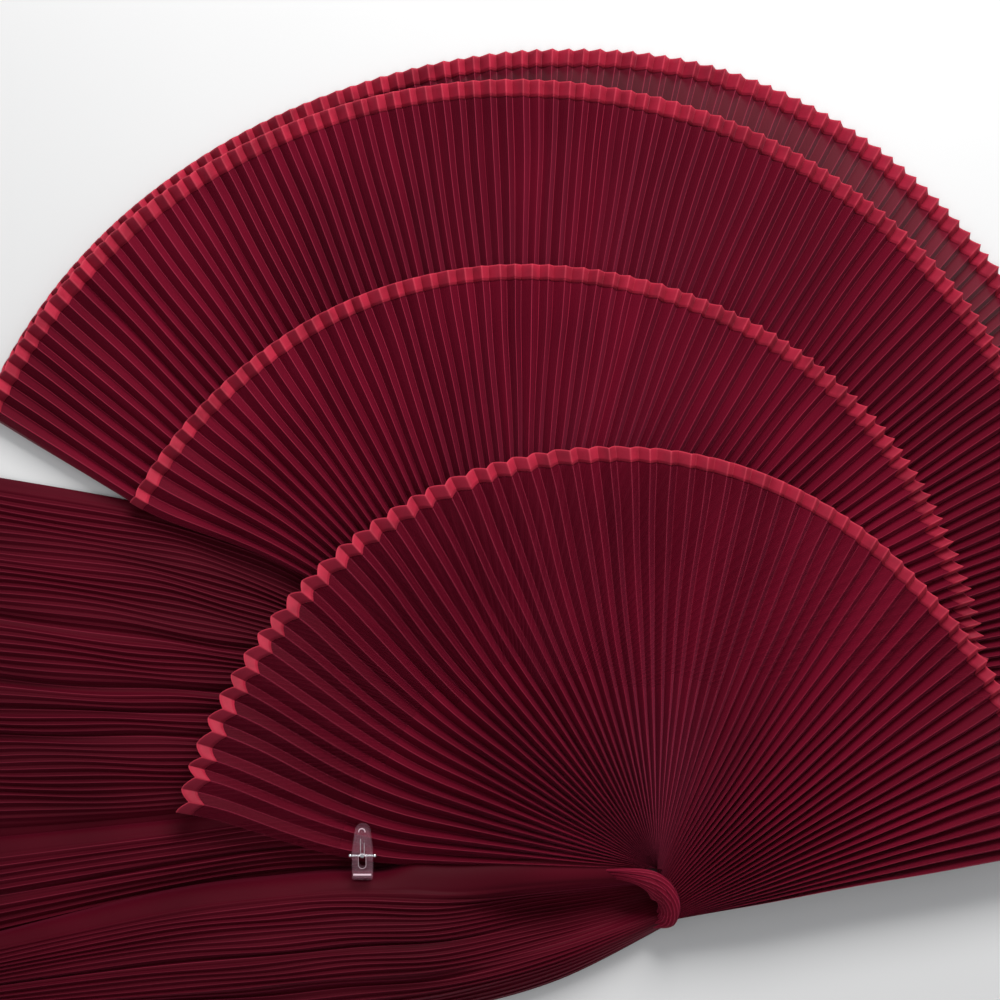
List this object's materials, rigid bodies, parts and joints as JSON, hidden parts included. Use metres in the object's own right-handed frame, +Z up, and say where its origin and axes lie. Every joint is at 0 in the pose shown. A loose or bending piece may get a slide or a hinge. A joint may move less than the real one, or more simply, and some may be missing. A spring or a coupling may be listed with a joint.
{
  "type": "pleated cloth hand fan",
  "caption": "Hand fan of sheer accordion-pleated cloth: tiers of round hemmed leaves that fold up about stitched gathers, with gathered tails and a spring clip.",
  "frame": {"origin": "middle of the underside of the box around the open fan, on the surface that it lies on", "axes": "+Z up off that surface, +Y from the gathers towards the top of the open leaves, +X to the right seen from above"},
  "size_m": [0.6404, 0.55, 0.0415],
  "materials": {
    "organza": "sheer wine-red organza, accordion pleated, with a turned hem",
    "stitching": "matt sewing thread",
    "clear_plastic": "clear moulded plastic",
    "spring_wire": "bright spring wire"
  },
  "bodies": {
    "root": {"back_tail": "organza", "middle_tail": "organza", "front_tail": "organza", "back_gather": "organza", "back_gather_thread": "stitching", "front_gather": "organza", "front_gather_thread": "stitching", "clip_lower_lever": "clear_plastic", "clip_pin": "spring_wire", "clip_spring": "spring_wire", "back_leaf_sector_01": "organza", "third_leaf_sector_01": "organza", "second_leaf_sector_01": "organza", "front_leaf_sector_01": "organza"},
    "back_leaf_12": {"back_leaf_sector_12": "organza"},
    "back_leaf_11": {"back_leaf_sector_11": "organza"},
    "back_leaf_10": {"back_leaf_sector_10": "organza"},
    "back_leaf_09": {"back_leaf_sector_09": "organza"},
    "back_leaf_08": {"back_leaf_sector_08": "organza"},
    "back_leaf_07": {"back_leaf_sector_07": "organza"},
    "back_leaf_06": {"back_leaf_sector_06": "organza"},
    "back_leaf_05": {"back_leaf_sector_05": "organza"},
    "back_leaf_04": {"back_leaf_sector_04": "organza"},
    "back_leaf_03": {"back_leaf_sector_03": "organza"},
    "back_leaf_02": {"back_leaf_sector_02": "organza"},
    "third_leaf_12": {"third_leaf_sector_12": "organza"},
    "third_leaf_11": {"third_leaf_sector_11": "organza"},
    "third_leaf_10": {"third_leaf_sector_10": "organza"},
    "third_leaf_09": {"third_leaf_sector_09": "organza"},
    "third_leaf_08": {"third_leaf_sector_08": "organza"},
    "third_leaf_07": {"third_leaf_sector_07": "organza"},
    "third_leaf_06": {"third_leaf_sector_06": "organza"},
    "third_leaf_05": {"third_leaf_sector_05": "organza"},
    "third_leaf_04": {"third_leaf_sector_04": "organza"},
    "third_leaf_03": {"third_leaf_sector_03": "organza"},
    "third_leaf_02": {"third_leaf_sector_02": "organza"},
    "second_leaf_11": {"second_leaf_sector_11": "organza"},
    "second_leaf_10": {"second_leaf_sector_10": "organza"},
    "second_leaf_09": {"second_leaf_sector_09": "organza"},
    "second_leaf_08": {"second_leaf_sector_08": "organza"},
    "second_leaf_07": {"second_leaf_sector_07": "organza"},
    "second_leaf_06": {"second_leaf_sector_06": "organza"},
    "second_leaf_05": {"second_leaf_sector_05": "organza"},
    "second_leaf_04": {"second_leaf_sector_04": "organza"},
    "second_leaf_03": {"second_leaf_sector_03": "organza"},
    "second_leaf_02": {"second_leaf_sector_02": "organza"},
    "front_leaf_11": {"front_leaf_sector_11": "organza"},
    "front_leaf_10": {"front_leaf_sector_10": "organza"},
    "front_leaf_09": {"front_leaf_sector_09": "organza"},
    "front_leaf_08": {"front_leaf_sector_08": "organza"},
    "front_leaf_07": {"front_leaf_sector_07": "organza"},
    "front_leaf_06": {"front_leaf_sector_06": "organza"},
    "front_leaf_05": {"front_leaf_sector_05": "organza"},
    "front_leaf_04": {"front_leaf_sector_04": "organza"},
    "front_leaf_03": {"front_leaf_sector_03": "organza"},
    "front_leaf_02": {"front_leaf_sector_02": "organza"},
    "clip_lever": {"clip_upper_lever": "clear_plastic"}
  },
  "joints": [
    {"name": "back_leaf_fold", "type": "hinge", "parent": "root", "child": "back_leaf_12", "pos_m": [-0.01915, -0.10688, 0], "axis": [0, 0, 1], "range_deg": [0, 113.93], "deforming": ["back_leaf_sector_12", "back_leaf_sector_01"]},
    {"name": "back_leaf_fold_11", "type": "hinge", "parent": "root", "child": "back_leaf_11", "pos_m": [-0.01915, -0.10688, 0], "axis": [0, 0, 1], "range_deg": [0, 104.28], "deforming": ["back_leaf_sector_11"]},
    {"name": "back_leaf_fold_10", "type": "hinge", "parent": "root", "child": "back_leaf_10", "pos_m": [-0.01915, -0.10688, 0], "axis": [0, 0, 1], "range_deg": [0, 94.68], "deforming": ["back_leaf_sector_10"]},
    {"name": "back_leaf_fold_09", "type": "hinge", "parent": "root", "child": "back_leaf_09", "pos_m": [-0.01915, -0.10688, 0], "axis": [0, 0, 1], "range_deg": [0, 85.16], "deforming": ["back_leaf_sector_09"]},
    {"name": "back_leaf_fold_08", "type": "hinge", "parent": "root", "child": "back_leaf_08", "pos_m": [-0.01915, -0.10688, 0], "axis": [0, 0, 1], "range_deg": [0, 75.65], "deforming": ["back_leaf_sector_08"]},
    {"name": "back_leaf_fold_07", "type": "hinge", "parent": "root", "child": "back_leaf_07", "pos_m": [-0.01915, -0.10688, 0], "axis": [0, 0, 1], "range_deg": [0, 66.13], "deforming": ["back_leaf_sector_07"]},
    {"name": "back_leaf_fold_06", "type": "hinge", "parent": "root", "child": "back_leaf_06", "pos_m": [-0.01915, -0.10688, 0], "axis": [0, 0, 1], "range_deg": [0, 56.53], "deforming": ["back_leaf_sector_06"]},
    {"name": "back_leaf_fold_05", "type": "hinge", "parent": "root", "child": "back_leaf_05", "pos_m": [-0.01915, -0.10688, 0], "axis": [0, 0, 1], "range_deg": [0, 46.82], "deforming": ["back_leaf_sector_05"]},
    {"name": "back_leaf_fold_04", "type": "hinge", "parent": "root", "child": "back_leaf_04", "pos_m": [-0.01915, -0.10688, 0], "axis": [0, 0, 1], "range_deg": [0, 36.93], "deforming": ["back_leaf_sector_04"]},
    {"name": "back_leaf_fold_03", "type": "hinge", "parent": "root", "child": "back_leaf_03", "pos_m": [-0.01915, -0.10688, 0], "axis": [0, 0, 1], "range_deg": [0, 26.8], "deforming": ["back_leaf_sector_03"]},
    {"name": "back_leaf_fold_02", "type": "hinge", "parent": "root", "child": "back_leaf_02", "pos_m": [-0.01915, -0.10688, 0], "axis": [0, 0, 1], "range_deg": [0, 16.37], "deforming": ["back_leaf_sector_02"]},
    {"name": "third_leaf_fold", "type": "hinge", "parent": "root", "child": "third_leaf_12", "pos_m": [-0.01915, -0.10688, 0], "axis": [0, 0, 1], "range_deg": [0, 114.72], "deforming": ["third_leaf_sector_12", "third_leaf_sector_01"]},
    {"name": "third_leaf_fold_11", "type": "hinge", "parent": "root", "child": "third_leaf_11", "pos_m": [-0.01915, -0.10688, 0], "axis": [0, 0, 1], "range_deg": [0, 106.27], "deforming": ["third_leaf_sector_11"]},
    {"name": "third_leaf_fold_10", "type": "hinge", "parent": "root", "child": "third_leaf_10", "pos_m": [-0.01915, -0.10688, 0], "axis": [0, 0, 1], "range_deg": [0, 97.53], "deforming": ["third_leaf_sector_10"]},
    {"name": "third_leaf_fold_09", "type": "hinge", "parent": "root", "child": "third_leaf_09", "pos_m": [-0.01915, -0.10688, 0], "axis": [0, 0, 1], "range_deg": [0, 88.57], "deforming": ["third_leaf_sector_09"]},
    {"name": "third_leaf_fold_08", "type": "hinge", "parent": "root", "child": "third_leaf_08", "pos_m": [-0.01915, -0.10688, 0], "axis": [0, 0, 1], "range_deg": [0, 79.38], "deforming": ["third_leaf_sector_08"]},
    {"name": "third_leaf_fold_07", "type": "hinge", "parent": "root", "child": "third_leaf_07", "pos_m": [-0.01915, -0.10688, 0], "axis": [0, 0, 1], "range_deg": [0, 69.96], "deforming": ["third_leaf_sector_07"]},
    {"name": "third_leaf_fold_06", "type": "hinge", "parent": "root", "child": "third_leaf_06", "pos_m": [-0.01915, -0.10688, 0], "axis": [0, 0, 1], "range_deg": [0, 60.27], "deforming": ["third_leaf_sector_06"]},
    {"name": "third_leaf_fold_05", "type": "hinge", "parent": "root", "child": "third_leaf_05", "pos_m": [-0.01915, -0.10688, 0], "axis": [0, 0, 1], "range_deg": [0, 50.29], "deforming": ["third_leaf_sector_05"]},
    {"name": "third_leaf_fold_04", "type": "hinge", "parent": "root", "child": "third_leaf_04", "pos_m": [-0.01915, -0.10688, 0], "axis": [0, 0, 1], "range_deg": [0, 39.95], "deforming": ["third_leaf_sector_04"]},
    {"name": "third_leaf_fold_03", "type": "hinge", "parent": "root", "child": "third_leaf_03", "pos_m": [-0.01915, -0.10688, 0], "axis": [0, 0, 1], "range_deg": [0, 29.21], "deforming": ["third_leaf_sector_03"]},
    {"name": "third_leaf_fold_02", "type": "hinge", "parent": "root", "child": "third_leaf_02", "pos_m": [-0.01915, -0.10688, 0], "axis": [0, 0, 1], "range_deg": [0, 17.97], "deforming": ["third_leaf_sector_02"]},
    {"name": "second_leaf_fold", "type": "hinge", "parent": "root", "child": "second_leaf_11", "pos_m": [-0.01915, -0.10688, 0], "axis": [0, 0, 1], "range_deg": [0, 114.89], "deforming": ["second_leaf_sector_11", "second_leaf_sector_01"]},
    {"name": "second_leaf_fold_10", "type": "hinge", "parent": "root", "child": "second_leaf_10", "pos_m": [-0.01915, -0.10688, 0], "axis": [0, 0, 1], "range_deg": [0, 106.58], "deforming": ["second_leaf_sector_10"]},
    {"name": "second_leaf_fold_09", "type": "hinge", "parent": "root", "child": "second_leaf_09", "pos_m": [-0.01915, -0.10688, 0], "axis": [0, 0, 1], "range_deg": [0, 97.73], "deforming": ["second_leaf_sector_09"]},
    {"name": "second_leaf_fold_08", "type": "hinge", "parent": "root", "child": "second_leaf_08", "pos_m": [-0.01915, -0.10688, 0], "axis": [0, 0, 1], "range_deg": [0, 88.36], "deforming": ["second_leaf_sector_08"]},
    {"name": "second_leaf_fold_07", "type": "hinge", "parent": "root", "child": "second_leaf_07", "pos_m": [-0.01915, -0.10688, 0], "axis": [0, 0, 1], "range_deg": [0, 78.48], "deforming": ["second_leaf_sector_07"]},
    {"name": "second_leaf_fold_06", "type": "hinge", "parent": "root", "child": "second_leaf_06", "pos_m": [-0.01915, -0.10688, 0], "axis": [0, 0, 1], "range_deg": [0, 68.06], "deforming": ["second_leaf_sector_06"]},
    {"name": "second_leaf_fold_05", "type": "hinge", "parent": "root", "child": "second_leaf_05", "pos_m": [-0.01915, -0.10688, 0], "axis": [0, 0, 1], "range_deg": [0, 57.09], "deforming": ["second_leaf_sector_05"]},
    {"name": "second_leaf_fold_04", "type": "hinge", "parent": "root", "child": "second_leaf_04", "pos_m": [-0.01915, -0.10688, 0], "axis": [0, 0, 1], "range_deg": [0, 45.54], "deforming": ["second_leaf_sector_04"]},
    {"name": "second_leaf_fold_03", "type": "hinge", "parent": "root", "child": "second_leaf_03", "pos_m": [-0.01915, -0.10688, 0], "axis": [0, 0, 1], "range_deg": [0, 33.37], "deforming": ["second_leaf_sector_03"]},
    {"name": "second_leaf_fold_02", "type": "hinge", "parent": "root", "child": "second_leaf_02", "pos_m": [-0.01915, -0.10688, 0], "axis": [0, 0, 1], "range_deg": [0, 20.53], "deforming": ["second_leaf_sector_02"]},
    {"name": "front_leaf_fold", "type": "hinge", "parent": "root", "child": "front_leaf_11", "pos_m": [0.06035, -0.19078, 0], "axis": [0, 0, 1], "range_deg": [0, 129.84], "deforming": ["front_leaf_sector_11", "front_leaf_sector_01"]},
    {"name": "front_leaf_fold_10", "type": "hinge", "parent": "root", "child": "front_leaf_10", "pos_m": [0.06035, -0.19078, 0], "axis": [0, 0, 1], "range_deg": [0, 119.63], "deforming": ["front_leaf_sector_10"]},
    {"name": "front_leaf_fold_09", "type": "hinge", "parent": "root", "child": "front_leaf_09", "pos_m": [0.06035, -0.19078, 0], "axis": [0, 0, 1], "range_deg": [0, 108.73], "deforming": ["front_leaf_sector_09"]},
    {"name": "front_leaf_fold_08", "type": "hinge", "parent": "root", "child": "front_leaf_08", "pos_m": [0.06035, -0.19078, 0], "axis": [0, 0, 1], "range_deg": [0, 97.27], "deforming": ["front_leaf_sector_08"]},
    {"name": "front_leaf_fold_07", "type": "hinge", "parent": "root", "child": "front_leaf_07", "pos_m": [0.06035, -0.19078, 0], "axis": [0, 0, 1], "range_deg": [0, 85.36], "deforming": ["front_leaf_sector_07"]},
    {"name": "front_leaf_fold_06", "type": "hinge", "parent": "root", "child": "front_leaf_06", "pos_m": [0.06035, -0.19078, 0], "axis": [0, 0, 1], "range_deg": [0, 73.08], "deforming": ["front_leaf_sector_06"]},
    {"name": "front_leaf_fold_05", "type": "hinge", "parent": "root", "child": "front_leaf_05", "pos_m": [0.06035, -0.19078, 0], "axis": [0, 0, 1], "range_deg": [0, 60.49], "deforming": ["front_leaf_sector_05"]},
    {"name": "front_leaf_fold_04", "type": "hinge", "parent": "root", "child": "front_leaf_04", "pos_m": [0.06035, -0.19078, 0], "axis": [0, 0, 1], "range_deg": [0, 47.63], "deforming": ["front_leaf_sector_04"]},
    {"name": "front_leaf_fold_03", "type": "hinge", "parent": "root", "child": "front_leaf_03", "pos_m": [0.06035, -0.19078, 0], "axis": [0, 0, 1], "range_deg": [0, 34.48], "deforming": ["front_leaf_sector_03"]},
    {"name": "front_leaf_fold_02", "type": "hinge", "parent": "root", "child": "front_leaf_02", "pos_m": [0.06035, -0.19078, 0], "axis": [0, 0, 1], "range_deg": [0, 20.99], "deforming": ["front_leaf_sector_02"]},
    {"name": "clip_open", "type": "hinge", "parent": "root", "child": "clip_lever", "pos_m": [-0.10795, -0.16888, 0.03385], "axis": [-1, 0, 0], "range_deg": [0, 25], "stiffness_Nm_per_rad": 0.04, "springref_deg": -22.92, "deforming": ["clip_spring"]}
  ],
  "couplings": [
    {"joint": "back_leaf_fold_11", "follows": "back_leaf_fold", "ratio": 0.91485},
    {"joint": "back_leaf_fold_10", "follows": "back_leaf_fold", "ratio": 0.83064},
    {"joint": "back_leaf_fold_09", "follows": "back_leaf_fold", "ratio": 0.74701},
    {"joint": "back_leaf_fold_08", "follows": "back_leaf_fold", "ratio": 0.6636},
    {"joint": "back_leaf_fold_07", "follows": "back_leaf_fold", "ratio": 0.57999},
    {"joint": "back_leaf_fold_06", "follows": "back_leaf_fold", "ratio": 0.49578},
    {"joint": "back_leaf_fold_05", "follows": "back_leaf_fold", "ratio": 0.4105},
    {"joint": "back_leaf_fold_04", "follows": "back_leaf_fold", "ratio": 0.32368},
    {"joint": "back_leaf_fold_03", "follows": "back_leaf_fold", "ratio": 0.23478},
    {"joint": "back_leaf_fold_02", "follows": "back_leaf_fold", "ratio": 0.14323},
    {"joint": "third_leaf_fold_11", "follows": "third_leaf_fold", "ratio": 0.92591},
    {"joint": "third_leaf_fold_10", "follows": "third_leaf_fold", "ratio": 0.84975},
    {"joint": "third_leaf_fold_09", "follows": "third_leaf_fold", "ratio": 0.77162},
    {"joint": "third_leaf_fold_08", "follows": "third_leaf_fold", "ratio": 0.69154},
    {"joint": "third_leaf_fold_07", "follows": "third_leaf_fold", "ratio": 0.60938},
    {"joint": "third_leaf_fold_06", "follows": "third_leaf_fold", "ratio": 0.52494},
    {"joint": "third_leaf_fold_05", "follows": "third_leaf_fold", "ratio": 0.4379},
    {"joint": "third_leaf_fold_04", "follows": "third_leaf_fold", "ratio": 0.34783},
    {"joint": "third_leaf_fold_03", "follows": "third_leaf_fold", "ratio": 0.25418},
    {"joint": "third_leaf_fold_02", "follows": "third_leaf_fold", "ratio": 0.15621},
    {"joint": "second_leaf_fold_10", "follows": "second_leaf_fold", "ratio": 0.92731},
    {"joint": "second_leaf_fold_09", "follows": "second_leaf_fold", "ratio": 0.85021},
    {"joint": "second_leaf_fold_08", "follows": "second_leaf_fold", "ratio": 0.7687},
    {"joint": "second_leaf_fold_07", "follows": "second_leaf_fold", "ratio": 0.68267},
    {"joint": "second_leaf_fold_06", "follows": "second_leaf_fold", "ratio": 0.592},
    {"joint": "second_leaf_fold_05", "follows": "second_leaf_fold", "ratio": 0.49651},
    {"joint": "second_leaf_fold_04", "follows": "second_leaf_fold", "ratio": 0.39594},
    {"joint": "second_leaf_fold_03", "follows": "second_leaf_fold", "ratio": 0.28998},
    {"joint": "second_leaf_fold_02", "follows": "second_leaf_fold", "ratio": 0.17829},
    {"joint": "front_leaf_fold_10", "follows": "front_leaf_fold", "ratio": 0.92102},
    {"joint": "front_leaf_fold_09", "follows": "front_leaf_fold", "ratio": 0.83701},
    {"joint": "front_leaf_fold_08", "follows": "front_leaf_fold", "ratio": 0.74876},
    {"joint": "front_leaf_fold_07", "follows": "front_leaf_fold", "ratio": 0.65702},
    {"joint": "front_leaf_fold_06", "follows": "front_leaf_fold", "ratio": 0.56246},
    {"joint": "front_leaf_fold_05", "follows": "front_leaf_fold", "ratio": 0.46553},
    {"joint": "front_leaf_fold_04", "follows": "front_leaf_fold", "ratio": 0.36645},
    {"joint": "front_leaf_fold_03", "follows": "front_leaf_fold", "ratio": 0.26514},
    {"joint": "front_leaf_fold_02", "follows": "front_leaf_fold", "ratio": 0.1613}
  ]
}
